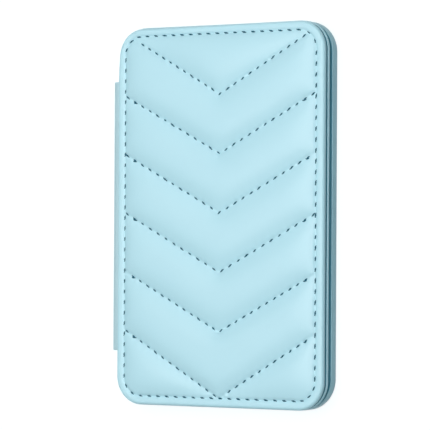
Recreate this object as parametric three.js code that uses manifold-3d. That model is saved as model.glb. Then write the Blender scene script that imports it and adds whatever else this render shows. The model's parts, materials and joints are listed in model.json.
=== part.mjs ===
// Phone card holder: a padded, quilted flip cover on a leather spine strip, closed over a
// back panel that holds a ring of magnets. Millimetres. It lies on its back face with the
// cover up: X is the width with the spine at -X, Y is the height, Z is the thickness.

import * as THREE from 'three';
import { mergeVertices } from 'three/addons/utils/BufferGeometryUtils.js';
import Module from 'manifold-3d';

const wasm = await Module();
wasm.setup();

// Outline shared by the cover and the back panel
const panelWidth = 64;
const panelHeight = 100;
const cornerRadius = 7.5;
const cornerSteps = 6;

// Sheet materials
const leather = 0.65;
const glue = 0.05;
const fit = 0.1;

// Back panel, from the phone face up; the hem is the skin's turned-in edge
const hemWidth = 8;
const backBoard = 1.05;
const shield = 0.3;
const backEdgeRadius = 0.8;
const backRimRadius = 0.5;

// Card slot: a spacer rim round three sides carries the pocket panel. It takes a bank
// card of 85.6 by 54 by 0.76, which slides in from the spine side.
const slotHeight = 0.8;
const slotRimInset = 1.6;
const slotRimWidth = 3;
const pocketLeather = 0.4;
const mouthInset = 8.5;
const thumbRadius = 9;
const closedGap = 0.1;

// Inner face of the cover: its edge is flush with the panels, on a set-back step
const facing = 0.75;
const facingStep = 0.4;
const facingStepInset = 1.3;
const facingRadius = 0.2;

// Quilted cover
const coverBoard = 0.4;
const seamInset = 2.4;
const seamDepth = 0.15;
const seamShoulder = 0.6;
const puffHeight = 1.3;
const puffWidth = 4.9;
const foamWeb = 0.12;
const chevronCount = 6;
const firstDrop = 15.9;
const chevronPitch = 15.5;

// Spine strip and its two folds
const spineLength = 71.6;
const foldOffset = 1.2;
const spineBulge = 1.27;
const foldGap = 0.3;
const foldRise = 0.4;
const tongueOverlap = 1.2;

// Magnets
const magnetThickness = 0.7;
const ringOuterRadius = 27;
const ringWidth = 4;
const ringCount = 18;
const ringGap = 0.5;
const ringCentreY = 3;
const barWidth = 6;
const barLength = 14;
const barGap = 3;
const claspRadius = 4;
const coverClasp = 0.8;
const claspInset = 8;

// Heights of the stack, worked out from the sheets
const backBoardZ = leather + glue;
const shieldZ = backBoardZ + backBoard + glue;
const backHemZ = shieldZ + shield + glue;
const backTopZ = backHemZ + leather;
const slotZ = backTopZ + glue;
const pocketZ = slotZ + slotHeight + glue;
const facingZ = pocketZ + pocketLeather + closedGap;
const facingTopZ = facingZ + facing + facingStep;
const coverHemZ = facingTopZ + glue;
const coverBoardZ = coverHemZ + leather + glue;
const foamZ = coverBoardZ + coverBoard + glue;
const borderTopZ = foamZ + leather;
const seamZ = borderTopZ - seamDepth;
const coverTopZ = seamZ + puffHeight;

// Places that several pieces share
const leftEdge = -panelWidth / 2;
const foldX = leftEdge - foldOffset;
const backFoldZ = leather / 2 + foldRise;
const coverFoldZ = coverHemZ + leather / 2 + foldRise / 2;
const spineOut = foldOffset + spineBulge + leather / 2;
const seamHalfWidth = panelWidth / 2 - seamInset;
const seamHalfHeight = panelHeight / 2 - seamInset;
const claspX = panelWidth / 2 - claspInset;
const ringInnerRadius = ringOuterRadius - ringWidth;
const mouthX = leftEdge + mouthInset;

// The chevrons run from level to level: number k starts at the perimeter seam on level k
// and comes to its point on level k + 1. The last point meets the bottom seam.
function levelY(k) {
  if (k === 0) return seamHalfHeight;
  if (k === chevronCount) return -seamHalfHeight;
  return seamHalfHeight - firstDrop - (k - 1) * chevronPitch;
}

function chevronSlope(k) {
  return (levelY(k) - levelY(k + 1)) / seamHalfWidth;
}

function chevronY(k, x) {
  return levelY(k + 1) + chevronSlope(k) * Math.abs(x);
}

// Each clasp magnet sits in the middle of a pad, clear of the seams
const claspPads = [0, chevronCount - 2];
const claspY = claspPads.map((k) => chevronY(k, claspX) - chevronPitch / 2);

// Solids

function solid(geometry) {
  const plain = geometry.clone();
  plain.deleteAttribute('normal');
  plain.deleteAttribute('uv');
  const merged = mergeVertices(plain, 1e-4);
  return new wasm.Manifold(new wasm.Mesh({
    numProp: 3,
    vertProperties: new Float32Array(merged.attributes.position.array),
    triVerts: new Uint32Array(merged.index.array),
  }));
}

function geometryOf(manifold) {
  const mesh = manifold.getMesh();
  const geometry = new THREE.BufferGeometry();
  geometry.setAttribute('position', new THREE.BufferAttribute(mesh.vertProperties, 3));
  geometry.setIndex(new THREE.BufferAttribute(mesh.triVerts, 1));
  return geometry;
}

// Closed solid through rings of points; each ring is anticlockwise seen from the last ring's side
function loft(rings) {
  const count = rings[0].length;
  const last = (rings.length - 1) * count;
  const points = rings.flat();
  const index = [];
  for (let ring = 0; ring < rings.length - 1; ring++) {
    for (let i = 0; i < count; i++) {
      const a = ring * count + i;
      const b = ring * count + (i + 1) % count;
      index.push(a, b, b + count);
      index.push(a, b + count, a + count);
    }
  }
  for (let i = 1; i < count - 1; i++) {
    index.push(0, i + 1, i);
    index.push(last, last + i, last + i + 1);
  }
  const geometry = new THREE.BufferGeometry().setFromPoints(points);
  geometry.setIndex(index);
  return solid(geometry);
}

// The panel outline drawn in by an inset, at one height
function outlineRing([inset, z]) {
  const radius = Math.max(cornerRadius - inset, 0.3);
  const halfX = panelWidth / 2 - inset - radius;
  const halfY = panelHeight / 2 - inset - radius;
  const signs = [[1, 1], [-1, 1], [-1, -1], [1, -1]];
  const ring = [];
  signs.forEach(([signX, signY], corner) => {
    for (let step = 0; step <= cornerSteps; step++) {
      const angle = (corner + step / cornerSteps) * Math.PI / 2;
      const x = signX * halfX + radius * Math.cos(angle);
      const y = signY * halfY + radius * Math.sin(angle);
      ring.push(new THREE.Vector3(x, y, z));
    }
  });
  return ring;
}

// Plate with the panel outline; the profile lists [inset, z] from the bottom up
function slab(profile) {
  return loft(profile.map(outlineRing));
}

function plate(inset, bottomZ, topZ) {
  return slab([[inset, bottomZ], [inset, topZ]]);
}

// Outer wall with a rounded bottom edge and a rounded top edge
function roundedWall(bottomZ, topZ, bottomRadius, topRadius) {
  const steps = 4;
  const profile = [];
  for (let step = 0; step <= steps; step++) {
    const angle = step / steps * Math.PI / 2;
    profile.push([bottomRadius * (1 - Math.sin(angle)), bottomZ + bottomRadius * (1 - Math.cos(angle))]);
  }
  for (let step = 0; step <= steps; step++) {
    const angle = step / steps * Math.PI / 2;
    profile.push([topRadius * (1 - Math.cos(angle)), topZ - topRadius * (1 - Math.sin(angle))]);
  }
  return profile;
}

function block(x0, x1, y0, y1, z0, z1) {
  const geometry = new THREE.BoxGeometry(x1 - x0, y1 - y0, z1 - z0);
  geometry.translate((x0 + x1) / 2, (y0 + y1) / 2, (z0 + z1) / 2);
  return solid(geometry);
}

function disc(radius, x, y, z0, z1) {
  const sides = radius > thumbRadius ? 72 : 24;
  const geometry = new THREE.CylinderGeometry(radius, radius, z1 - z0, sides);
  geometry.rotateX(Math.PI / 2);
  geometry.translate(x, y, (z0 + z1) / 2);
  return solid(geometry);
}

// Quilting

// Rise of a pad at steps away from its seam: a quarter ellipse up to the flat of the pad
function padArc(steps) {
  const arc = [];
  for (let step = 0; step <= steps; step++) {
    const angle = step / steps * Math.PI / 2;
    arc.push([puffWidth * (1 - Math.cos(angle)), puffHeight * Math.sin(angle)]);
  }
  return arc;
}

// The quilted surface moved down by a drop, and never below a floor
function quiltHeight(rise, drop, floorZ) {
  return Math.max(seamZ + rise - drop, floorZ);
}

// What is cut away above one V-shaped chevron seam, out to the flat of the pads
function chevronValley(k, drop, floorZ, steps) {
  const across = Math.hypot(1, chevronSlope(k));
  const arc = padArc(steps);
  const clearZ = coverTopZ + 1;
  const left = arc.slice(1).reverse().map(([away, rise]) => [-away, rise]);
  const section = [[0, clearZ], [-puffWidth, clearZ]];
  for (const [away, rise] of [...left, ...arc]) {
    section.push([away, quiltHeight(rise, drop, floorZ)]);
  }
  section.push([puffWidth, clearZ]);
  const stations = [-panelWidth, 0, panelWidth];
  return loft(stations.map((x) => section.map(
    ([away, z]) => new THREE.Vector3(x, chevronY(k, x) + away * across, z),
  )));
}

// A quilted solid: the wall profile, then the pads inside the perimeter seam
function quilted(wall, drop, floorZ, steps) {
  const pads = padArc(steps).map(([away, rise]) => [seamInset + away, quiltHeight(rise, drop, floorZ)]);
  const insideSeam = plate(seamInset + 0.02, coverHemZ, coverTopZ + 2);
  let body = slab([...wall, ...pads]);
  for (let k = 0; k < chevronCount; k++) {
    body = body.subtract(chevronValley(k, drop, floorZ, steps).intersect(insideSeam));
  }
  return body;
}

// Leather tongue that runs from a panel's left edge to its fold line
function tongue(z) {
  const halfThickness = leather / 2;
  const start = foldX + halfThickness + foldGap;
  return block(
    start, leftEdge + tongueOverlap,
    -spineLength / 2, spineLength / 2,
    z - halfThickness, z + halfThickness,
  );
}

// What is cut away on the spine side for the mouth of the card slot
function mouthStrip() {
  return block(leftEdge - 1, mouthX, -panelHeight, panelHeight, backHemZ, coverHemZ);
}

// Pieces of the back panel

const backSkin = slab(roundedWall(0, backTopZ, backEdgeRadius, backRimRadius))
  .add(tongue(backFoldZ))
  .subtract(plate(leather, leather, backHemZ))
  .subtract(plate(hemWidth, backHemZ - fit, backTopZ + 1));

const channelZ = backBoardZ + backBoard - magnetThickness - glue;
const boardTopZ = backBoardZ + backBoard;
const ringChannel = disc(ringOuterRadius + fit, 0, ringCentreY, channelZ, boardTopZ + 1)
  .subtract(disc(ringInnerRadius - fit, 0, ringCentreY, channelZ - 1, boardTopZ + 2));
const barTopY = ringCentreY - ringOuterRadius - barGap;
const barChannel = block(
  -barWidth / 2 - fit, barWidth / 2 + fit,
  barTopY - barLength - fit, barTopY + fit,
  channelZ, boardTopZ + 1,
);

let backBoardSolid = plate(leather + fit, backBoardZ, boardTopZ)
  .subtract(ringChannel)
  .subtract(barChannel);
for (const y of claspY) {
  backBoardSolid = backBoardSolid.subtract(disc(claspRadius + fit, claspX, y, channelZ, boardTopZ + 1));
}

const magnetZ = channelZ + glue;

function ringMagnet(number) {
  const pitch = 2 * Math.PI / ringCount;
  const middle = Math.PI / 2 + pitch / 2 + number * pitch;
  const outerHalf = pitch / 2 - ringGap / 2 / ringOuterRadius;
  const innerHalf = pitch / 2 - ringGap / 2 / ringInnerRadius;
  const shape = new THREE.Shape();
  shape.absarc(0, 0, ringOuterRadius, middle - outerHalf, middle + outerHalf, false);
  shape.absarc(0, 0, ringInnerRadius, middle + innerHalf, middle - innerHalf, true);
  const geometry = new THREE.ExtrudeGeometry(shape, {
    depth: magnetThickness, bevelEnabled: false, curveSegments: 3,
  });
  geometry.translate(0, ringCentreY, magnetZ);
  return solid(geometry);
}

const slotRim = plate(slotRimInset, slotZ, slotZ + slotHeight)
  .subtract(plate(slotRimInset + slotRimWidth, slotZ - 1, slotZ + slotHeight + 1))
  .subtract(mouthStrip());

const pocket = plate(slotRimInset, pocketZ, pocketZ + pocketLeather)
  .subtract(mouthStrip())
  .subtract(disc(thumbRadius, mouthX, 0, slotZ, coverHemZ));

// Pieces of the cover

const coverWall = [
  ...roundedWall(coverHemZ, borderTopZ, (borderTopZ - coverHemZ) / 2, (borderTopZ - coverHemZ) / 2),
  [seamInset - seamShoulder, borderTopZ],
];
const skinFloorZ = foamZ + foamWeb + glue;
const cavityWall = [[leather, coverHemZ + leather], [leather, foamZ], [seamInset - glue, foamZ]];
const coverSkin = quilted(coverWall, 0, seamZ, 6)
  .add(tongue(coverFoldZ))
  .subtract(quilted(cavityWall, leather, skinFloorZ, 4))
  .subtract(plate(hemWidth, coverHemZ - 1, coverHemZ + leather + fit));

let coverFoam = quilted([[seamInset, foamZ]], leather + glue, foamZ + foamWeb, 4);
for (const y of claspY) {
  coverFoam = coverFoam.subtract(disc(claspRadius + fit, claspX, y, foamZ - 1, coverTopZ + 1));
}

const coverFacing = slab([
  ...roundedWall(facingZ, facingZ + facing, facingRadius, facingRadius),
  [facingStepInset, facingZ + facing],
  [facingStepInset, facingTopZ],
]);

// Spine strip: an arc of leather between the two fold lines, with rounded ends

function spineStrip() {
  const halfRise = (coverFoldZ - backFoldZ) / 2;
  const arcRadius = (halfRise ** 2 + spineBulge ** 2) / (2 * spineBulge);
  const centreX = foldX - spineBulge + arcRadius;
  const centreZ = (coverFoldZ + backFoldZ) / 2;
  const spread = Math.asin(halfRise / arcRadius);
  const high = Math.PI - spread;
  const low = Math.PI + spread;
  const halfThickness = leather / 2;
  const section = new THREE.Shape();
  section.absarc(centreX, centreZ, arcRadius + halfThickness, high, low, false);
  section.absarc(foldX, backFoldZ, halfThickness, low, low + Math.PI, false);
  section.absarc(centreX, centreZ, arcRadius - halfThickness, low, high, true);
  section.absarc(foldX, coverFoldZ, halfThickness, high + Math.PI, high + 2 * Math.PI, false);
  const geometry = new THREE.ExtrudeGeometry(section, {
    depth: spineLength, bevelEnabled: false, curveSegments: 10,
  });
  geometry.rotateX(Math.PI / 2);
  geometry.translate(0, spineLength / 2, 0);
  return solid(geometry);
}

// Finishes

const finishes = {
  leather: { color: 0xbbe3ef, roughness: 0.5, metalness: 0 },
  edge: { color: 0x8fc3cf, roughness: 0.55, metalness: 0 },
  lining: { color: 0x9fb9bf, roughness: 0.9, metalness: 0 },
  board: { color: 0xb9b2a3, roughness: 0.85, metalness: 0 },
  foam: { color: 0xe9e6da, roughness: 0.95, metalness: 0 },
  magnet: { color: 0xa9adb3, roughness: 0.3, metalness: 1 },
  steel: { color: 0x8c9096, roughness: 0.4, metalness: 1 },
};

const holder = new THREE.Group();
holder.name = 'phone_card_holder';

// The middle of the whole box, spine included, stands over the origin
function piece(name, body, finish) {
  const geometry = geometryOf(body.translate([spineOut / 2, 0, 0]));
  const mesh = new THREE.Mesh(geometry, new THREE.MeshStandardMaterial(finishes[finish]));
  mesh.name = name;
  holder.add(mesh);
}

piece('back_skin', backSkin, 'leather');
piece('back_board', backBoardSolid, 'board');
for (let number = 0; number < ringCount; number++) {
  piece(`ring_magnet_${String(number + 1).padStart(2, '0')}`, ringMagnet(number), 'magnet');
}
piece('bar_magnet', block(
  -barWidth / 2, barWidth / 2,
  barTopY - barLength, barTopY,
  magnetZ, magnetZ + magnetThickness,
), 'magnet');
claspY.forEach((y, i) => {
  piece(`back_clasp_magnet_${i + 1}`, disc(claspRadius, claspX, y, magnetZ, magnetZ + magnetThickness), 'magnet');
});
piece('shield_plate', plate(leather + fit, shieldZ, shieldZ + shield), 'steel');
piece('slot_lining', plate(hemWidth + fit, backHemZ, backTopZ), 'lining');
piece('slot_rim', slotRim, 'leather');
piece('card_pocket', pocket, 'leather');
piece('spine_strip', spineStrip(), 'leather');
piece('cover_facing', coverFacing, 'edge');
piece('cover_board', plate(leather + fit, coverBoardZ, coverBoardZ + coverBoard), 'board');
claspY.forEach((y, i) => {
  piece(`cover_clasp_magnet_${i + 1}`, disc(claspRadius, claspX, y, foamZ, foamZ + coverClasp), 'magnet');
});
piece('cover_foam', coverFoam, 'foam');
piece('cover_skin', coverSkin, 'leather');

export default holder;
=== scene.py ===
# Phone card holder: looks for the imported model. Everything here is worked out in
# millimetres from the frame's boxes and written to Blender in metres.

import json
import math

import bpy
import numpy as np
from mathutils import Matrix, Vector


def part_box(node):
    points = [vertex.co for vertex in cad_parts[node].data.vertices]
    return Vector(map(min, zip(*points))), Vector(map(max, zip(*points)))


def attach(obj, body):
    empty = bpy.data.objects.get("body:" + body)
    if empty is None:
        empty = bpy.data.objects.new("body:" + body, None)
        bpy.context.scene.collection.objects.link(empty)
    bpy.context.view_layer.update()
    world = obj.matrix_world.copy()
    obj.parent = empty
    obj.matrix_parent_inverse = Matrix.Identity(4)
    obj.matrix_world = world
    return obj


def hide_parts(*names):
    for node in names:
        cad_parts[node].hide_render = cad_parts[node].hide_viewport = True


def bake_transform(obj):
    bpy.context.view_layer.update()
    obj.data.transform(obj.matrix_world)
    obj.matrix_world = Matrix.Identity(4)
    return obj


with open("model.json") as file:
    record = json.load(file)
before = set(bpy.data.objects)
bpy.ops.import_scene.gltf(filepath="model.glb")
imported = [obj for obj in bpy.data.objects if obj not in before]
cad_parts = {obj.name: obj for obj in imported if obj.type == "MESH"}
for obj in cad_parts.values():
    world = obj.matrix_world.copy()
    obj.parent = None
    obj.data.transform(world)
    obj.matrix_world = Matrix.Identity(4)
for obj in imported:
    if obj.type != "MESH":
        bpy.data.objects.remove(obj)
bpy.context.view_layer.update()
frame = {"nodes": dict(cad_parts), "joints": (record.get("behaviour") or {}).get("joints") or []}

MM = 0.001


def box_mm(node):
    low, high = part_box(node)
    return np.array(low) / MM, np.array(high) / MM


# Places taken from the frame

facing_low, facing_high = box_mm("cover_facing")
cover_low, cover_high = box_mm("cover_skin")
back_low, back_high = box_mm("back_skin")
foam_low = box_mm("cover_foam")[0]
pocket_low, pocket_high = box_mm("card_pocket")
spine_low, spine_high = box_mm("spine_strip")

centre_x = (facing_low[0] + facing_high[0]) / 2
centre_y = (facing_low[1] + facing_high[1]) / 2
width = facing_high[0] - facing_low[0]
height = facing_high[1] - facing_low[1]
left_edge = facing_low[0]

fold = {joint["name"]: joint for joint in frame["joints"]}
back_fold = np.array(fold["spine_fold"]["pos_m"]) / MM
cover_fold = np.array(fold["cover_fold"]["pos_m"]) / MM

# Sizes of the leather work, as in the construction

leather = 0.65
corner_radius = 7.5
seam_inset = 2.4
hem_inset = 6.8
hem_z = cover_low[2]
foam_z = foam_low[2]
border_top_z = foam_z + leather
edge_radius = (border_top_z - hem_z) / 2
edge_z = (border_top_z + hem_z) / 2
pad_top_z = cover_high[2]

# From the panel's middle: where its corners begin, and the rim seam's reach
half_x = width / 2 - corner_radius
half_y = height / 2 - corner_radius
seam_half_width = width / 2 - seam_inset
seam_half_height = height / 2 - seam_inset

# Corners anticlockwise, from the one at the top right
corner_sides = [(1, 1), (-1, 1), (-1, -1), (1, -1)]

pocket_inset = 1.6
pocket_seam_inset = 1.5
thumb_radius = 9.0
back_seam_inset = pocket_inset + pocket_seam_inset
facing_thickness = 0.75
facing_step_inset = 1.3

# Finer forms that only the looks have

free_corner_radius = 8.1
inner_seam_depth = 0.26
facing_edge_radius = 0.2
facing_bead = 0.25
facing_channel_wall = 0.06
facing_channel_depth = 0.35
back_edge_radius = 0.8
back_lip = 0.12
back_channel_wall = 0.12
back_channel_ease = 0.1
back_channel_depth = 0.5
back_channel_inset = 1.35

# Camera: fitted to the photo's outline, seams and edge layers

camera_tilt = math.radians(32.99)
camera_drop = math.radians(-0.854)
camera_roll = math.radians(0.316)
camera_distance = 749.8
camera_aim = np.array([centre_x, centre_y, 4.0])
camera_slide = (2.45, -0.20)
focal_pixels = 2868.0
frame_pixels = 430
sensor_width = 36


def place_camera():
    away = np.array([
        math.sin(camera_tilt) * math.cos(camera_drop),
        math.sin(camera_drop),
        math.cos(camera_tilt) * math.cos(camera_drop),
    ])
    right = np.cross([0, 1, 0], away)
    right /= np.linalg.norm(right)
    up = np.cross(away, right)
    cos, sin = math.cos(camera_roll), math.sin(camera_roll)
    right, up = cos * right + sin * up, cos * up - sin * right
    spot = camera_aim + away * camera_distance - right * camera_slide[0] - up * camera_slide[1]
    data = bpy.data.cameras.new("camera")
    data.sensor_width = sensor_width
    data.lens = focal_pixels / frame_pixels * sensor_width
    data.clip_start = 0.01
    data.clip_end = 20
    camera = bpy.data.objects.new("camera", data)
    axes = Matrix((right, up, away)).transposed().to_4x4()
    camera.matrix_world = Matrix.Translation(Vector(spot * MM)) @ axes
    bpy.context.collection.objects.link(camera)
    bpy.context.scene.camera = camera


# Materials

def linear(red, green, blue):
    """An sRGB colour of 0 to 255 as Blender's linear RGBA."""
    channels = []
    for value in (red, green, blue):
        value /= 255
        channels.append(value / 12.92 if value <= 0.04045 else ((value + 0.055) / 1.055) ** 2.4)
    return (*channels, 1)


class Nodes:
    """Short hand for building a material's node tree."""

    def __init__(self, name):
        self.material = bpy.data.materials.new(name)
        self.material.use_nodes = True
        self.tree = self.material.node_tree
        self.shader = self.tree.nodes["Principled BSDF"]

    def add(self, kind, **settings):
        node = self.tree.nodes.new(kind)
        for key, value in settings.items():
            setattr(node, key, value)
        return node

    def join(self, source, target):
        self.tree.links.new(source, target)

    def feed(self, socket, source):
        """Link a socket of the shader."""
        self.join(source, self.shader.inputs[socket])

    def fix(self, socket, value):
        """Set a socket of the shader, the same all over the surface."""
        self.shader.inputs[socket].default_value = value

    def coordinates(self):
        return self.add("ShaderNodeTexCoord").outputs["Object"]

    def noise(self, scale, detail, roughness=0.5):
        node = self.add("ShaderNodeTexNoise")
        node.inputs["Scale"].default_value = scale
        node.inputs["Detail"].default_value = detail
        node.inputs["Roughness"].default_value = roughness
        self.join(self.coordinates(), node.inputs["Vector"])
        return node.outputs["Fac"]

    def cells(self, scale, smoothness=0.6):
        node = self.add("ShaderNodeTexVoronoi", feature="SMOOTH_F1")
        node.inputs["Scale"].default_value = scale
        node.inputs["Smoothness"].default_value = smoothness
        self.join(self.coordinates(), node.inputs["Vector"])
        return node.outputs["Distance"]

    def spread(self, source, low, high):
        node = self.add("ShaderNodeMapRange")
        node.inputs["To Min"].default_value = low
        node.inputs["To Max"].default_value = high
        self.join(source, node.inputs["Value"])
        return node.outputs["Result"]

    def blend(self, fac, first, second):
        node = self.add("ShaderNodeMix", data_type="RGBA")
        node.inputs["A"].default_value = first
        node.inputs["B"].default_value = second
        self.join(fac, node.inputs["Factor"])
        return node.outputs["Result"]

    def bump(self, relief, strength, distance_mm, under=None):
        node = self.add("ShaderNodeBump")
        node.inputs["Strength"].default_value = strength
        node.inputs["Distance"].default_value = distance_mm * MM
        self.join(relief, node.inputs["Height"])
        if under is not None:
            self.join(under, node.inputs["Normal"])
        return node.outputs["Normal"]


def leather_material(name, colour, shade, roughness=0.34, grain=0.5):
    """PU leather: a fine pebbled grain with faint clouding of the colour."""
    nodes = Nodes(name)
    clouds = nodes.noise(scale=55, detail=4)
    nodes.feed("Base Color", nodes.blend(clouds, colour, shade))
    polish = nodes.noise(scale=900, detail=2)
    nodes.feed("Roughness", nodes.spread(polish, low=roughness - 0.06, high=roughness + 0.08))
    pebbles = nodes.bump(nodes.cells(scale=2600), strength=grain, distance_mm=0.012)
    creases = nodes.noise(scale=1400, detail=3)
    nodes.feed("Normal", nodes.bump(creases, strength=grain * 0.6, distance_mm=0.015, under=pebbles))
    nodes.fix("Specular IOR Level", 0.45)
    return nodes.material


def thread_material(name, colour, shade):
    """Sewing thread: matt, with a fibrous surface."""
    nodes = Nodes(name)
    nodes.feed("Base Color", nodes.blend(nodes.noise(scale=3000, detail=2), colour, shade))
    nodes.fix("Roughness", 0.75)
    nodes.fix("Specular IOR Level", 0.2)
    fibres = nodes.noise(scale=9000, detail=2)
    nodes.feed("Normal", nodes.bump(fibres, strength=0.4, distance_mm=0.01))
    return nodes.material


def fibre_material(name, colour, shade, roughness=0.95):
    """Microfibre, foam or board: matt, with a fine nap."""
    nodes = Nodes(name)
    patches = nodes.noise(scale=700, detail=5, roughness=0.7)
    nodes.feed("Base Color", nodes.blend(patches, colour, shade))
    nodes.fix("Roughness", roughness)
    nap = nodes.noise(scale=5000, detail=3)
    nodes.feed("Normal", nodes.bump(nap, strength=0.5, distance_mm=0.03))
    return nodes.material


def metal_material(name, colour, roughness):
    """Plate or sheet metal, a little uneven in its gloss."""
    nodes = Nodes(name)
    nodes.fix("Base Color", colour)
    nodes.fix("Metallic", 1)
    smears = nodes.noise(scale=1200, detail=3)
    nodes.feed("Roughness", nodes.spread(smears, low=roughness - 0.05, high=roughness + 0.1))
    return nodes.material


aqua = leather_material("quilted_leather", linear(189, 229, 240), linear(184, 225, 237))
# A darker, more saturated copy of the quilted leather: painted shade for the back panel and card pocket,
# whose sides lie in shade.
plain_shaded_leather = leather_material("plain_leather", linear(174, 220, 232), linear(168, 215, 228))
# A lighter copy of the leather for the cover's inner face: painted light that brightens the lit bead along
# its edge.
edge_lit_leather = leather_material("facing_leather", linear(196, 235, 246), linear(188, 229, 240))
# A darker copy of the leather: painted shade for the recesses between the layers, on the slot rim and the
# floors of the pressed edge lines.
recess_shade_leather = leather_material("recess_painted_shade", linear(117, 182, 200), linear(109, 173, 191))
# A paler, greyer copy of the leather: painted sheen on the spine's curve.
spine_sheen_leather = leather_material("spine_leather", linear(186, 217, 226), linear(180, 212, 221))
thread = thread_material("seam_thread", linear(42, 104, 124), linear(30, 88, 107))
suede = fibre_material("slot_suede", linear(150, 182, 190), linear(138, 170, 180))
foam = fibre_material("white_foam", linear(234, 232, 222), linear(224, 221, 210))
board = fibre_material("grey_board", linear(178, 176, 168), linear(160, 158, 151), roughness=0.85)
nickel = metal_material("nickel", linear(190, 192, 196), roughness=0.28)
steel = metal_material("sheet_steel", linear(150, 153, 158), roughness=0.4)


# Meshes

def mesh_object(name, points_mm, faces, material, sharp_degrees=None):
    mesh = bpy.data.meshes.new(name)
    mesh.from_pydata((np.asarray(points_mm) * MM).tolist(), [], faces)
    mesh.polygons.foreach_set("use_smooth", [True] * len(mesh.polygons))
    if sharp_degrees is not None:
        mesh.set_sharp_from_angle(angle=math.radians(sharp_degrees))
    mesh.materials.append(material)
    mesh.update()
    piece = bpy.data.objects.new(name, mesh)
    bpy.context.collection.objects.link(piece)
    return piece


def loop_faces(first, second, count):
    """Quads between two closed loops of vertices that start at these indices."""
    steps = np.arange(count)
    ahead = (steps + 1) % count
    return np.stack([first + steps, first + ahead, second + ahead, second + steps], 1).tolist()


def grid_faces(columns, rows, offset=0):
    i, j = np.meshgrid(np.arange(columns - 1), np.arange(rows - 1), indexing="ij")
    start = (i * rows + j).ravel() + offset
    return np.stack([start, start + rows, start + rows + 1, start + 1], 1).tolist()


def grid_border(columns, rows):
    """Indices of a grid's outer points, anticlockwise from above."""
    bottom = [(i, 0) for i in range(columns - 1)]
    right = [(columns - 1, j) for j in range(rows - 1)]
    top = [(i, rows - 1) for i in range(columns - 1, 0, -1)]
    left = [(0, j) for j in range(rows - 1, 0, -1)]
    return [i * rows + j for i, j in bottom + right + top + left]


def closed_between(name, upper, lower, material):
    """A closed piece between two grids of points that are joined round their borders."""
    columns, rows = upper.shape[:2]
    count = columns * rows
    points = np.concatenate([upper.reshape(-1, 3), lower.reshape(-1, 3)])
    border = np.array(grid_border(columns, rows))
    ahead = np.roll(border, -1)
    faces = grid_faces(columns, rows)
    faces += [face[::-1] for face in grid_faces(columns, rows, count)]
    faces += np.stack([ahead, border, border + count, ahead + count], 1).tolist()
    return mesh_object(name, points, faces, material, sharp_degrees=60)


def arc(radius, start_degrees, end_degrees, steps):
    angles = np.radians(np.linspace(start_degrees, end_degrees, steps + 1))
    return radius * np.cos(angles), radius * np.sin(angles)


class Outline:
    """A closed outline: its points at inset 0, with their outward directions."""

    def __init__(self, points, normals):
        self.points = points
        self.normals = normals

    def ring(self, inset, z):
        flat = self.points - self.normals * np.reshape(inset, (-1, 1))
        return np.column_stack([flat, np.full(len(flat), z)])

    @classmethod
    def through(cls, points):
        """An outline through close points, anticlockwise."""
        along = np.roll(points, -1, axis=0) - np.roll(points, 1, axis=0)
        normals = np.column_stack([along[:, 1], -along[:, 0]])
        return cls(points, normals / np.linalg.norm(normals, axis=1)[:, None])

    @classmethod
    def panel(cls, free_radius=corner_radius, corner_steps=14):
        """The panels' outline; the two corners away from the spine can be rounder."""
        points = []
        normals = []
        for corner, (side_x, side_y) in enumerate(corner_sides):
            radius = free_radius if side_x > 0 else corner_radius
            x = centre_x + side_x * (width / 2 - radius)
            y = centre_y + side_y * (height / 2 - radius)
            for step in range(corner_steps + 1):
                angle = (corner + step / corner_steps) * math.pi / 2
                direction = np.array([math.cos(angle), math.sin(angle)])
                points.append(np.array([x, y]) + radius * direction)
                normals.append(direction)
        return cls(np.array(points), np.array(normals))


def stacked(name, outline, profile, material):
    """A closed piece through [inset, z] rings of one outline, with a flat face at each end."""
    count = len(outline.points)
    points = np.concatenate([outline.ring(inset, z) for inset, z in profile])
    faces = []
    for level in range(len(profile) - 1):
        faces += loop_faces(level * count, (level + 1) * count, count)
    last = (len(profile) - 1) * count
    faces.append(list(range(count))[::-1])
    faces.append(list(range(last, last + count)))
    return mesh_object(name, points, faces, material, sharp_degrees=35)


def rounded_edge(bottom_z, top_z, bottom_radius, top_radius, steps=6, support=0.15):
    """Profile of an outer wall, with a support ring on the flat inside each rounding."""
    cos, sin = arc(1, 0, 90, steps)
    low = [[bottom_radius * (1 - s), bottom_z + bottom_radius * (1 - c)] for c, s in zip(cos, sin)]
    high = [[top_radius * (1 - c), top_z - top_radius * (1 - s)] for c, s in zip(cos, sin)]
    return [[bottom_radius + support, bottom_z], *low, *high, [top_radius + support, top_z]]


def stitch_groove(inset, z, depth, half_width=0.34, rings=7):
    """Rings that press a seam's groove into a flat face at z; a negative depth is for an underside."""
    across = np.linspace(-1, 1, rings)
    return [[inset + half_width * u, z - depth * (1 - u * u) ** 2] for u in across]


# Quilting: six V-shaped seams inside the rim seam

chevron_count = 6
first_drop = 15.9
chevron_pitch = 15.5
point_shift = 0.4
first_steepness = 1.04

seam_drop = 0.15
puff_height = pad_top_z - border_top_z + seam_drop
groove_depth = 0.16
groove_width = 0.42
border_slope_width = 0.45
pucker_depth = 0.07
pucker_reach = 0.8
rim_pucker_reach = 0.6
pucker_clearance = 0.4

# The cover's edge: drawn in at the top, and gathered under its corners
pull_depth = 0.4
pull_start = 36.0
pull_end = 46.0
gather_depth = 0.12
gather_count = 28
hem_turn = 0.2

# The foam under the quilting
foam_spacing = 0.9
foam_web = 0.12
magnet_fit = 0.1

# Grid lines from the panel's edge: over the rounded edge, listed about the seam, then even
edge_turn_lines = 9
seam_lines = [1.15, 1.4, 1.65, 1.85, 2.0, 2.12, 2.22, 2.31, 2.4, 2.49, 2.58, 2.68, 2.8, 2.95, 3.15]
even_start = 3.4
even_spacing = 0.3

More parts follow.
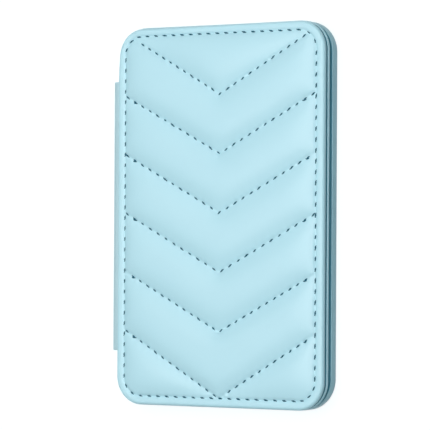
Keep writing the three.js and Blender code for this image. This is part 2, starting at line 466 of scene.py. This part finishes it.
# Stitches of the rim seam, counted anticlockwise from the middle of the right side: the
# number reached, and the way along the seam to it, where each side begins and ends
rim_counts = [0, 15, 18, 35, 39, 68, 72, 89, 93, 108]
rim_reaches = [0, 41.5, 50.8, 97.7, 108.5, 189.7, 200.8, 248.3, 258.3, 300.04]

# Stitch lengths of each chevron seam, left and right, and where the stitch nearest its point lies
chevron_stitching = [
    (2.55, 2.65, 0.0), (2.70, 2.70, -0.5), (2.75, 2.75, 0.0),
    (2.83, 2.83, 1.0), (2.62, 2.62, 0.85), (2.68, 2.68, 1.15),
]


def level_y(k):
    """Height where the arms of seam k end, which is that of the point of the seam above it."""
    if k == 0:
        return seam_half_height
    if k == chevron_count:
        return -seam_half_height
    return seam_half_height - first_drop - (k - 1) * chevron_pitch


def chevron_slope(k):
    steepness = first_steepness if k == 0 else 1
    return steepness * (level_y(k) - level_y(k + 1)) / seam_half_width


def chevron_height(k, x):
    """Height of seam k at x, both from the panel's middle."""
    return level_y(k + 1) + chevron_slope(k) * np.abs(x - point_shift)


def inset_at(x, y):
    """How far a point is inside the panel's outline; x and y from the panel's middle."""
    gap_x = width / 2 - np.abs(x)
    gap_y = height / 2 - np.abs(y)
    round_x = np.clip(corner_radius - gap_x, 0, None)
    round_y = np.clip(corner_radius - gap_y, 0, None)
    in_corner = (round_x > 0) & (round_y > 0)
    return np.where(in_corner, corner_radius - np.hypot(round_x, round_y), np.minimum(gap_x, gap_y))


def nearest_chevron(x, y):
    """Distance from the nearest chevron seam, and the way along it, counted in stitches."""
    nearest = np.full(x.shape, np.inf)
    stitch = np.zeros(x.shape)
    for k, (left_pitch, right_pitch, start) in enumerate(chevron_stitching):
        stretch = math.hypot(1, chevron_slope(k))
        across = np.abs(y - chevron_height(k, x)) / stretch
        run = (x - point_shift) * stretch
        pitch = np.where(run < start, left_pitch, right_pitch)
        stitch = np.where(across < nearest, (run - start) / pitch, stitch)
        nearest = np.minimum(nearest, across)
    return nearest, stitch


def rim_way(x, y):
    """The way along the rim seam to the spot nearest each point, from the middle of the right side."""
    radius = corner_radius - seam_inset
    quarter = half_x + half_y + radius * math.pi / 2
    flip_x = x < 0
    flip_y = y < 0
    x, y = np.abs(x), np.abs(y)
    turn = np.arctan2(np.clip(y - half_y, 0, None), np.clip(x - half_x, 1e-9, None))
    on_side = (width / 2 - x < height / 2 - y) & (y <= half_y)
    way = np.where(on_side, y, half_y + radius * turn + np.where(x < half_x, half_x - x, 0))
    way = np.where(flip_x, 2 * quarter - way, way)
    return np.where(flip_y, 4 * quarter - way, way)


def softened(grid):
    """The grid with each value averaged with its neighbours."""
    wide = np.pad(grid, 1, mode="edge")
    across = (wide[:-2] + 2 * wide[1:-1] + wide[2:]) / 4
    return (across[:, :-2] + 2 * across[:, 1:-1] + across[:, 2:]) / 4


def cubic_weights(t):
    return [
        -0.5 * t ** 3 + t ** 2 - 0.5 * t,
        1.5 * t ** 3 - 2.5 * t ** 2 + 1,
        -1.5 * t ** 3 + 2 * t ** 2 + 0.5 * t,
        0.5 * t ** 3 - 0.5 * t ** 2,
    ]


class Pads:
    """The leather blown up over its foam and held down along its seams, by a cloth simulation."""

    spacing = 0.8
    enlarged = 20
    frames = 14
    pin_width = 0.45
    rim_width = 0.05
    full_percentile = 97
    firmness = 1.7
    smoothing = 3

    def __init__(self):
        self.columns = round(2 * seam_half_width / self.spacing) + 1
        self.rows = round(2 * seam_half_height / self.spacing) + 1
        self.x = np.linspace(-seam_half_width, seam_half_width, self.columns)
        self.y = np.linspace(-seam_half_height, seam_half_height, self.rows)
        x, y = np.meshgrid(self.x, self.y, indexing="ij")
        inside = inset_at(x, y) - seam_inset
        from_seam = np.minimum(inside, nearest_chevron(x, y)[0])
        held = np.exp(-(np.clip(from_seam, 0, None) / self.pin_width) ** 2)
        held[inside <= self.rim_width] = 1
        swell = self.simulate(x, y, held)
        full = np.percentile(swell, self.full_percentile)
        self.rise = 1 - (1 - np.clip(swell / full, 0, 1)) ** self.firmness
        for _ in range(self.smoothing):
            self.rise = held * self.rise + (1 - held) * softened(self.rise)

    def simulate(self, x, y, held):
        """Heights of the cloth over the grid; it is enlarged, to suit the solver."""
        flat = np.column_stack([x.ravel(), y.ravel(), np.zeros(x.size)])
        sheet = mesh_object("pad_cloth", flat * self.enlarged, grid_faces(self.columns, self.rows), aqua)
        group = sheet.vertex_groups.new(name="held")
        for index, weight in enumerate(held.ravel()):
            group.add([index], float(weight), "REPLACE")
        cloth = sheet.modifiers.new("cloth", "CLOTH")
        settings = cloth.settings
        settings.quality = 8
        settings.mass = 0.1
        settings.tension_stiffness = 4
        settings.compression_stiffness = 4
        settings.shear_stiffness = 2
        settings.bending_stiffness = 2
        settings.air_damping = 4
        settings.vertex_group_mass = "held"
        settings.use_pressure = True
        settings.uniform_pressure_force = 4
        settings.effector_weights.gravity = 0
        cloth.point_cache.frame_start = 1
        cloth.point_cache.frame_end = self.frames
        for frame_number in range(1, self.frames + 1):
            bpy.context.scene.frame_set(frame_number)
        blown = sheet.evaluated_get(bpy.context.evaluated_depsgraph_get()).to_mesh()
        spots = np.empty(len(blown.vertices) * 3)
        blown.vertices.foreach_get("co", spots)
        mesh = sheet.data
        bpy.data.objects.remove(sheet)
        bpy.data.meshes.remove(mesh)
        bpy.context.scene.frame_set(1)
        return spots.reshape(self.columns, self.rows, 3)[:, :, 2]

    def at(self, x, y):
        """Rise of the pads at points, 0 to 1, by cubic interpolation of the grid."""
        u = np.clip((x - self.x[0]) / (self.x[1] - self.x[0]), 0, self.columns - 1.001)
        v = np.clip((y - self.y[0]) / (self.y[1] - self.y[0]), 0, self.rows - 1.001)
        i, j = u.astype(int), v.astype(int)
        weights_u = cubic_weights(u - i)
        weights_v = cubic_weights(v - j)
        total = np.zeros(x.shape)
        for a in range(4):
            column = np.clip(i + a - 1, 0, self.columns - 1)
            for b in range(4):
                row = np.clip(j + b - 1, 0, self.rows - 1)
                total += weights_u[a] * weights_v[b] * self.rise[column, row]
        return np.clip(total, 0, 1)


# The camera comes first in the making, and the pads before what lies on them
place_camera()
pads = Pads()


def quilt_surface(x, y, inset):
    """Height of the leather over the panel; x and y from the panel's middle."""
    inside = inset - seam_inset
    nearest, stitch = nearest_chevron(x, y)
    rim_stitch = np.interp(rim_way(x, y), rim_reaches, rim_counts)
    z = border_top_z - seam_drop + puff_height * pads.at(x, y)
    puckers = pucker_depth * np.cos(stitch * 2 * math.pi) * np.exp(-nearest / pucker_reach)
    z -= puckers * (inside > pucker_clearance)
    rim_puckers = pucker_depth * np.cos(rim_stitch * 2 * math.pi)
    z -= rim_puckers * np.exp(-np.abs(inside) / rim_pucker_reach)
    z -= groove_depth * np.exp(-(nearest / groove_width) ** 2) * (inside > 0)
    border = border_top_z - seam_drop * np.exp(-np.abs(inside) / border_slope_width)
    z = np.where(inside > 0, z, border)
    z -= groove_depth * np.exp(-(inside / groove_width) ** 2)
    turn = np.clip(1 - inset / edge_radius, 0, 1)
    rounded = edge_z + edge_radius * np.sqrt(np.clip(1 - turn ** 2, 0, 1))
    return np.where(inset < edge_radius, rounded, z)


def even_lines(start, end, spacing):
    return np.linspace(start, end, round((end - start) / spacing) + 1)


def quilt_lines(length):
    """Grid lines across a side: close together over the rounded edge and the seam."""
    turn = edge_radius * (1 - np.cos(np.radians(np.linspace(0, 90, edge_turn_lines))))
    corner = even_lines(even_start, corner_radius, even_spacing)
    edge = np.concatenate([turn, seam_lines, corner])
    inner = even_lines(corner_radius, length - corner_radius, even_spacing)
    return np.concatenate([edge, inner[1:-1], (length - edge)[::-1]])


def quilt_grid(across, up):
    """Points of the panel on a grid that follows its rounded corners, and each one's inset."""
    x, y = np.meshgrid(across - width / 2, up - height / 2, indexing="ij")
    a = (np.abs(x) - half_x) / corner_radius
    b = (np.abs(y) - half_y) / corner_radius
    in_corner = (a > 0) & (b > 0)
    radius = np.maximum(a, b)
    with np.errstate(divide="ignore", invalid="ignore"):
        angle = np.where(a >= b, math.pi / 4 * b / a, math.pi / 2 - math.pi / 4 * a / b)
    angle = np.nan_to_num(angle, posinf=0, neginf=0)
    inset = corner_radius * (1 - radius)
    reach = corner_radius * radius
    x = np.where(in_corner, np.sign(x) * (half_x + reach * np.cos(angle)), x)
    y = np.where(in_corner, np.sign(y) * (half_y + reach * np.sin(angle)), y)
    return x, y, inset


def outward_at(x, y):
    """Directions straight out of the panel at points near its edge."""
    away = np.column_stack([x - np.clip(x, -half_x, half_x), y - np.clip(y, -half_y, half_y)])
    return away / np.linalg.norm(away, axis=1)[:, None]


def rim_pull(x, y, inset):
    """How far the leather outside the seam is drawn in: most along the top's spine end."""
    t = np.clip((y - pull_start) / (pull_end - pull_start), 0, 1)
    outside = np.clip(1 - inset / seam_inset, 0, 1)
    return pull_depth * outside * (0.5 - x / width) * t ** 2 * (3 - 2 * t)


def dressed(piece, node, body):
    """The piece stands for a node, whose own piece is hidden, and rides on a body."""
    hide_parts(node)
    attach(piece, body)


def cover_leather():
    """Quilted leather: padded top, bull-nosed edge and turned-in hem with gathered corners."""
    x, y, inset = quilt_grid(quilt_lines(width), quilt_lines(height))
    z = quilt_surface(x, y, inset)
    columns, rows = x.shape
    faces = grid_faces(columns, rows)
    x, y, inset = x.ravel(), y.ravel(), inset.ravel()
    near = inset < seam_inset
    outward = outward_at(x[near], y[near])
    pull = rim_pull(x[near], y[near], inset[near])
    x[near] -= pull * outward[:, 0]
    y[near] -= pull * outward[:, 1]
    points = np.column_stack([x + centre_x, y + centre_y, z.ravel()])

    border = grid_border(columns, rows)
    outward = outward_at(x[border], y[border])
    outline = Outline(points[border, :2], outward)
    turn = np.arctan2(outward[:, 1], outward[:, 0])
    gathers = gather_depth * np.sin(2 * turn) ** 2 * (0.5 + 0.5 * np.cos(gather_count * turn))

    cos, sin = arc(edge_radius, 0, 90, 8)
    under = [[edge_radius - c + gathers * s / edge_radius, edge_z - s] for c, s in zip(cos[1:], sin[1:])]
    profile = under + [
        [edge_radius + hem_turn, hem_z],
        [hem_inset, hem_z],
        [hem_inset, hem_z + leather],
        [leather, hem_z + leather],
        [leather, foam_z],
    ]
    count = len(border)
    offset = len(points)
    points = np.concatenate([points, *[outline.ring(ring_inset, ring_z) for ring_inset, ring_z in profile]])
    first = offset + np.arange(count)
    faces += np.stack([border, first, np.roll(first, -1), np.roll(border, -1)], 1).tolist()
    for level in range(len(profile) - 1):
        lower = offset + level * count
        faces += [face[::-1] for face in loop_faces(lower, lower + count, count)]
    last = offset + (len(profile) - 1) * count
    faces.append(list(range(last, last + count))[::-1])
    piece = mesh_object("cover_leather", points, faces, aqua, sharp_degrees=60)
    dressed(piece, "cover_skin", "cover")


def foam_pad():
    """The foam that fills the quilted pads, thin along their seams."""
    inset_mm = foam_low[0] - left_edge
    across = even_lines(inset_mm, width - inset_mm, foam_spacing)
    up = even_lines(inset_mm, height - inset_mm, foam_spacing)
    x, y, inset = quilt_grid(across, up)
    z = np.maximum(quilt_surface(x, y, inset) - leather, foam_z + foam_web)
    x += centre_x
    y += centre_y
    underside = np.full(x.shape, foam_z)
    for node in ("cover_clasp_magnet_1", "cover_clasp_magnet_2"):
        low, high = box_mm(node)
        away = np.hypot(x - (low[0] + high[0]) / 2, y - (low[1] + high[1]) / 2)
        over = away < (high[0] - low[0]) / 2 + foam_spacing
        underside[over] = np.minimum(high[2] + magnet_fit, z[over] - foam_web)
    piece = closed_between("foam_pad", np.dstack([x, y, z]), np.dstack([x, y, underside]), foam)
    dressed(piece, "cover_foam", "cover")


# Sewing

thread_radius = 0.135
stitch_length = 1.6
stitch_lift = 0.09
stitch_dip = 0.17
stitch_rings = 9
stitch_sides = 6
end_taper = 0.75
ply_spread = 0.72
ply_twist = 0.9
slant = math.radians(12)
angle_scatter = 0.05
length_scatter = 0.07

# Where a chevron seam stops short of the rim seam, and its stitch that is sewn twice
seam_end_gap = 0.6
back_tack_gap = 3.7
back_tack_shift = (0.1, 0.28)
back_tack_lean = 1.5

# The rim seam's deeper stitches beside the spine, and the seams on the flat faces
spine_side_sink = 0.1
inner_thread_radius = 0.075
inner_lift = -0.13
inner_dip = 0.22
inner_pitch = 2.75


def rim_path(inset, steps=12):
    """The rim seam as points from the middle of the right side, anticlockwise."""
    radius = corner_radius - inset
    points = [(width / 2 - inset, 0)]
    for corner, (side_x, side_y) in enumerate(corner_sides):
        for step in range(steps + 1):
            angle = (corner + step / steps) * math.pi / 2
            x = side_x * half_x + radius * math.cos(angle)
            y = side_y * half_y + radius * math.sin(angle)
            points.append((x, y))
    points.append(points[0])
    return np.array(points)


def along_path(path, at):
    """Points and directions at distances along a path."""
    steps = np.diff(path, axis=0)
    lengths = np.concatenate([[0], np.cumsum(np.hypot(steps[:, 0], steps[:, 1]))])
    x = np.interp(at, lengths, path[:, 0])
    y = np.interp(at, lengths, path[:, 1])
    leg = np.clip(np.searchsorted(lengths, at, side="right") - 1, 0, len(steps) - 1)
    return np.column_stack([x, y]), np.arctan2(steps[leg, 1], steps[leg, 0])


def stitch_points(length, radius, lift, dip):
    """One stitch along X at the origin: two plies twisted round each other."""
    u = np.linspace(-1, 1, stitch_rings)
    level = np.zeros(stitch_rings)
    middle = np.column_stack([u * length / 2, level, lift - (lift + dip) * np.abs(u) ** 3])
    ply_radius = radius * (1 - end_taper * np.abs(u) ** 6)
    turn = np.linspace(0, 2 * math.pi, stitch_sides, endpoint=False)
    plies = []
    for start in (0, math.pi):
        twist = u * math.pi * ply_twist + start
        swing = ply_spread * ply_radius
        heart = middle + np.column_stack([level, swing * np.cos(twist), swing * np.sin(twist)])
        ring_y = ply_radius[:, None] * np.cos(turn)
        ring_z = ply_radius[:, None] * np.sin(turn)
        ring_x = np.zeros_like(ring_y)
        plies.append((heart[:, None] + np.stack([ring_x, ring_y, ring_z], 2)).reshape(-1, 3))
    return plies


def stitch_faces():
    """Faces of one ply: its wall and its two ends."""
    faces = []
    for ring in range(stitch_rings - 1):
        faces += loop_faces(ring * stitch_sides, (ring + 1) * stitch_sides, stitch_sides)
    faces.append(list(range(stitch_sides)))
    faces.append(list(range((stitch_rings - 1) * stitch_sides, stitch_rings * stitch_sides))[::-1])
    return [face[::-1] for face in faces]


def sew(name, marks, radius=thread_radius, lift=stitch_lift, dip=stitch_dip, side=1):
    """All the stitches of one piece; each mark is a place, its height and its direction."""
    plies = []
    faces = []
    pattern = [face[::side] for face in stitch_faces()]
    random = np.random.default_rng(7)
    for x, y, z, angle in marks:
        angle += random.normal(0, angle_scatter)
        size = stitch_length * (1 + random.normal(0, length_scatter))
        cos, sin = math.cos(angle), math.sin(angle)
        for ply in stitch_points(size, radius, lift, dip):
            offset = len(plies) * len(ply)
            plies.append(np.column_stack([
                x + cos * ply[:, 0] - sin * ply[:, 1],
                y + sin * ply[:, 0] + cos * ply[:, 1],
                z + side * ply[:, 2],
            ]))
            faces += [[index + offset for index in face] for face in pattern]
    return mesh_object(name, np.concatenate(plies), faces, thread)


def marks_on(spots, angles, lean):
    """Marks at spots on the quilted leather, leaning from the seam's direction."""
    heights = quilt_surface(spots[:, 0], spots[:, 1], inset_at(spots[:, 0], spots[:, 1]))
    return [
        (x + centre_x, y + centre_y, z, angle + lean)
        for (x, y), z, angle in zip(spots, heights, angles)
    ]


def rim_marks():
    """Stitches of the rim seam; those beside the spine are pulled deeper."""
    counts = np.arange(rim_counts[-1])
    spots, angles = along_path(rim_path(seam_inset), np.interp(counts, rim_counts, rim_reaches))
    marks = marks_on(spots, angles, -slant)
    on_spine_side = left_edge + seam_inset + thread_radius
    return [(x, y, z - spine_side_sink * (x < on_spine_side), angle) for x, y, z, angle in marks]


def chevron_marks(k):
    """Stitches of one chevron seam; but for the first seam, one near each end is sewn twice."""
    marks = []
    left_pitch, right_pitch, start = chevron_stitching[k]
    point = np.array([point_shift, level_y(k + 1)])
    for side, pitch in ((-1, left_pitch), (1, right_pitch)):
        end_x = side * seam_half_width
        end = np.array([end_x, chevron_height(k, end_x)])
        length = np.linalg.norm(end - point)
        first = start * side % pitch
        stitch_at_point = start == 0
        if side < 0 and stitch_at_point:
            first += pitch
        at = np.arange(first, length, pitch)
        spots, angles = along_path(np.array([point, end]), at)
        clear = inset_at(spots[:, 0], spots[:, 1]) > seam_inset + seam_end_gap
        at, spots, angles = at[clear], spots[clear], angles[clear]
        lean = side * slant
        marks += marks_on(spots, angles, lean)
        if k == 0:
            continue
        twice = np.argmin(np.abs(at - (length - back_tack_gap)))
        again = spots[twice:twice + 1] - [side * back_tack_shift[0], back_tack_shift[1]]
        marks += marks_on(again, angles[twice:twice + 1], -lean * back_tack_lean)
    return marks


def cover_stitches():
    marks = rim_marks()
    for k in range(chevron_count):
        marks += chevron_marks(k)
    stitches = sew("cover_stitches", marks)
    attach(stitches, "cover")


def inner_marks(inset, z):
    """Stitches of a seam all round a panel, on a flat face."""
    path = rim_path(inset)
    length = np.hypot(*np.diff(path, axis=0).T).sum()
    at = np.linspace(0, length, round(length / inner_pitch), endpoint=False)
    spots, angles = along_path(path, at)
    return [(x + centre_x, y + centre_y, z, angle + slant) for (x, y), angle in zip(spots, angles)]


def sew_inner(name, marks, body, side):
    """A seam whose thread lies sunk in its groove; side -1 is an underside."""
    piece = sew(name, marks, inner_thread_radius, inner_lift, inner_dip, side)
    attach(piece, body)


def inner_stitches():
    """The seams on the cover's inside and on both faces of the back panel."""
    sew_inner("facing_stitches", inner_marks(seam_inset, facing_low[2]), "cover", -1)
    sew_inner("back_stitches", inner_marks(back_seam_inset, back_low[2]), "back_panel", -1)
    on_pocket = [
        mark for mark in inner_marks(back_seam_inset, pocket_high[2])
        if mark[0] > pocket_low[0] + pocket_seam_inset
    ]
    beside_pocket = [
        mark for mark in inner_marks(back_seam_inset, back_high[2])
        if mark[0] < pocket_low[0] - pocket_seam_inset
    ]
    sew_inner("pocket_stitches", on_pocket + beside_pocket, "back_panel", 1)


# Plain leather: the back panel, the cover's inner face and the card pocket

def shade_channel_floor(piece, channel_z):
    """The floor of a pressed edge line, and its eased foot, take the darker leather: painted shade for the
    recess.
    """
    piece.data.materials.append(recess_shade_leather)
    for face in piece.data.polygons:
        above = face.center.z / MM - channel_z
        faces_up = face.normal.z > 0.5
        if faces_up and -0.05 < above < 0.2:
            face.material_index = 1


def back_leather():
    """The back panel's skin, wrapped round its board, with a pressed edge line and a hem."""
    low, high = back_low[2], back_high[2]
    channel_z = high - back_channel_depth
    channel_start = back_lip + back_channel_wall
    profile = stitch_groove(back_seam_inset, low, -inner_seam_depth)[::-1]
    profile += rounded_edge(low, high, back_edge_radius, back_lip, support=0.05)
    profile += [
        [channel_start, channel_z + back_channel_ease],
        [channel_start + back_channel_ease, channel_z],
        [back_channel_inset, channel_z],
        [back_channel_inset + back_channel_ease, high],
    ]
    profile += stitch_groove(back_seam_inset, high, inner_seam_depth)
    profile += [
        [hem_inset, high],
        [hem_inset, high - leather],
        [leather, high - leather],
        [leather, low + leather],
    ]
    piece = stacked("back_leather", Outline.panel(free_corner_radius), profile, plain_shaded_leather)
    # Painted shade on the pressed edge line's floor.
    shade_channel_floor(piece, channel_z)
    dressed(piece, "back_skin", "back_panel")


def facing_leather():
    """The cover's inner face: a bead along its cut edge, and a set-back step under the hem."""
    low = facing_low[2]
    flange = low + facing_thickness
    channel_z = flange - facing_channel_depth
    profile = stitch_groove(seam_inset, low, -inner_seam_depth)[::-1]
    profile += rounded_edge(low, flange, facing_edge_radius, facing_bead, support=0.02)
    profile += [
        [facing_bead + facing_channel_wall, channel_z],
        [facing_step_inset, channel_z],
        [facing_step_inset, facing_high[2]],
    ]
    piece = stacked("facing_leather", Outline.panel(), profile, edge_lit_leather)
    # Painted shade on the pressed edge line's floor.
    shade_channel_floor(piece, channel_z)
    dressed(piece, "cover_facing", "cover")


def turn_points(middle, radius, start_degrees, end_degrees, steps=10):
    cos, sin = arc(radius, start_degrees, end_degrees, steps)
    return [(middle[0] + x, middle[1] + y) for x, y in zip(cos, sin)]


def even_loop(points, step):
    """The same closed outline with points about every step."""
    closed = np.vstack([points, points[:1]])
    lengths = np.concatenate([[0], np.cumsum(np.linalg.norm(np.diff(closed, axis=0), axis=1))])
    at = np.linspace(0, lengths[-1], round(lengths[-1] / step), endpoint=False)
    return np.column_stack([np.interp(at, lengths, closed[:, axis]) for axis in (0, 1)])


def pocket_outline():
    """The pocket's outline: panel edge on three sides, and the mouth with its thumb notch."""
    left, right = pocket_low[0], pocket_high[0]
    low, high = pocket_low[1], pocket_high[1]
    radius = corner_radius - pocket_inset
    lip = 2.0
    lip_rise = math.sqrt((thumb_radius + lip) ** 2 - lip ** 2)
    lip_turn = math.degrees(math.atan2(lip_rise, lip))
    points = turn_points((right - radius, low + radius), radius, -90, 0)
    points += turn_points((right - radius, high - radius), radius, 0, 90)
    points += turn_points((left + lip, high - lip), lip, 90, 180)
    points += turn_points((left + lip, centre_y + lip_rise), lip, 180, 180 + lip_turn)
    points += turn_points((left, centre_y), thumb_radius, lip_turn, -lip_turn, steps=40)
    points += turn_points((left + lip, centre_y - lip_rise), lip, 180 - lip_turn, 180)
    points += turn_points((left + lip, low + lip), lip, 180, 270)
    return even_loop(np.array(points), step=0.45)


def card_pocket():
    """The thin leather over the card slot, with a pressed seam all round."""
    low, high = pocket_low[2], pocket_high[2]
    profile = rounded_edge(low, high, bottom_radius=0.05, top_radius=0.12, steps=3)
    profile += stitch_groove(pocket_seam_inset, high, inner_seam_depth)
    piece = stacked("pocket_leather", Outline.through(pocket_outline()), profile, plain_shaded_leather)
    dressed(piece, "card_pocket", "back_panel")


# Spine: one strip of leather that bends out of both panels and meets in the middle

tongue_overlap = 1.2
spine_turn_inset = -0.1
spine_squareness = 0.85
spine_tip_radius = 0.3
spine_tip_share = 0.25
spine_tip_lines = 6
spine_inner_lines = 73


def spine_path(low_part, steps=26):
    """Half of the strip's middle line, from inside a panel to mid-spine."""
    mid_z = (back_fold[2] + cover_fold[2]) / 2
    root_z = back_fold[2] if low_part else cover_fold[2]
    rise = mid_z - root_z
    turn_x = left_edge + spine_turn_inset
    depth = turn_x - (spine_low[0] + leather / 2)
    turns = np.radians(np.linspace(0, 90, steps))
    x = turn_x - depth * np.sin(turns) ** spine_squareness
    z = root_z + rise * (1 - np.cos(turns) ** spine_squareness)
    x = np.concatenate([[left_edge + tongue_overlap], x])
    z = np.concatenate([[root_z], z])
    return np.column_stack([x, z])


def spine_half(name, low_part):
    """One half of the strip, closed, and thinner towards its two cut ends."""
    path = spine_path(low_part)
    along = np.gradient(path, axis=0)
    along /= np.linalg.norm(along, axis=1)[:, None]
    away = np.column_stack([-along[:, 1], along[:, 0]])
    if not low_part:
        away = -away
    length = spine_high[1] - spine_low[1]
    tip = spine_tip_radius * (1 - np.cos(np.radians(np.linspace(0, 90, spine_tip_lines))))
    inner = np.linspace(spine_tip_radius, length - spine_tip_radius, spine_inner_lines)
    y = np.concatenate([tip, inner[1:-1], (length - tip)[::-1]]) - length / 2
    from_tip = np.clip(length / 2 - np.abs(y), 0, spine_tip_radius) / spine_tip_radius
    full = np.sqrt(1 - (1 - from_tip) ** 2)
    thickness = leather / 2 * (spine_tip_share + (1 - spine_tip_share) * full)
    sides = []
    for side in (1, -1):
        spot = path[None] + side * thickness[:, None, None] * away[None]
        rows_y = np.broadcast_to(y[:, None] + centre_y, spot.shape[:2])
        sides.append(np.dstack([spot[:, :, 0], rows_y, spot[:, :, 1]]))
    if not low_part:
        sides.reverse()
    piece = closed_between(name, *sides, spine_sheen_leather)
    return piece


def spine_leather():
    """The two halves, each built in place; together they replace the strip."""
    low = spine_half("spine_lower", True)
    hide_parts("spine_strip")
    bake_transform(low)
    high = spine_half("spine_upper", False)
    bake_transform(high)


def finish_inner_pieces():
    """Materials of the construction's own pieces, which keep their shape."""
    # The slot rim takes painted shade for the recess it sits in.
    finishes = {"slot_rim": recess_shade_leather, "slot_lining": suede, "shield_plate": steel}
    for node, piece in frame["nodes"].items():
        finish = finishes.get(node)
        if "magnet" in node:
            finish = nickel
        elif "board" in node:
            finish = board
        if finish is not None:
            piece.data.materials.clear()
            piece.data.materials.append(finish)


cover_leather()
foam_pad()
cover_stitches()
back_leather()
facing_leather()
card_pocket()
inner_stitches()
spine_leather()
finish_inner_pieces()


# Studio: soft lamps, a dim surround and a pale floor

warm = (1, 0.935, 0.92)
cool = (0.5, 0.88, 1)
surround = (0.66, 0.95, 1, 1)
floor_glow = 0.84
floor_reach = 1500
floor_z = -0.02


def light(name, spot, aim, size, power, colour):
    """An area lamp at a spot, turned to its aim; places and size in millimetres."""
    data = bpy.data.lights.new(name, "AREA")
    data.energy = power
    data.color = colour
    data.shape = "RECTANGLE"
    data.size = size[0] * MM
    data.size_y = size[1] * MM
    lamp = bpy.data.objects.new(name, data)
    lamp.location = Vector(spot) * MM
    lamp.rotation_euler = (Vector(aim) - Vector(spot)).to_track_quat("-Z", "Y").to_euler()
    bpy.context.collection.objects.link(lamp)


def studio_world(horizon, overhead):
    """A plain dim surround, brighter overhead than at the horizon."""
    world = bpy.data.worlds.new("studio")
    world.use_nodes = True
    tree = world.node_tree
    background = tree.nodes["Background"]
    background.inputs["Color"].default_value = surround
    direction = tree.nodes.new("ShaderNodeTexCoord")
    split = tree.nodes.new("ShaderNodeSeparateXYZ")
    level = tree.nodes.new("ShaderNodeMapRange")
    level.inputs["To Min"].default_value = horizon
    level.inputs["To Max"].default_value = overhead
    tree.links.new(direction.outputs["Generated"], split.inputs[0])
    tree.links.new(split.outputs["Z"], level.inputs["Value"])
    tree.links.new(level.outputs["Result"], background.inputs["Strength"])
    bpy.context.scene.world = world


def floor_material():
    """White to the camera and in reflections, and a quiet grey as a bounce on the object."""
    nodes = Nodes("floor")
    nodes.fix("Base Color", linear(120, 140, 145))
    nodes.fix("Roughness", 0.9)
    nodes.fix("Emission Color", (1, 1, 1, 1))
    path = nodes.add("ShaderNodeLightPath")
    seen = path.outputs["Is Camera Ray"]
    for ray in ("Is Glossy Ray", "Is Transmission Ray"):
        either = nodes.add("ShaderNodeMath", operation="MAXIMUM")
        nodes.join(seen, either.inputs[0])
        nodes.join(path.outputs[ray], either.inputs[1])
        seen = either.outputs[0]
    glow = nodes.add("ShaderNodeMath", operation="MULTIPLY")
    glow.inputs[1].default_value = floor_glow
    nodes.join(seen, glow.inputs[0])
    nodes.feed("Emission Strength", glow.outputs[0])
    return nodes.material


light("softbox", spot=(95, 150, 720), aim=(20, 20, 0), size=(900, 900), power=5.3, colour=warm)
light("strip", spot=(-40, 0, 730), aim=(-20, 0, 0), size=(110, 800), power=1.0, colour=warm)
light("side_fill", spot=(560, 40, 330), aim=(30, 0, 3), size=(200, 700), power=0.2, colour=cool)
studio_world(horizon=0.05, overhead=0.34)

floor_corners = [(x * floor_reach, y * floor_reach, floor_z) for x, y in corner_sides]
floor = mesh_object("floor", floor_corners, [[0, 1, 2, 3]], floor_material())

bpy.context.scene.view_settings.view_transform = "Standard"
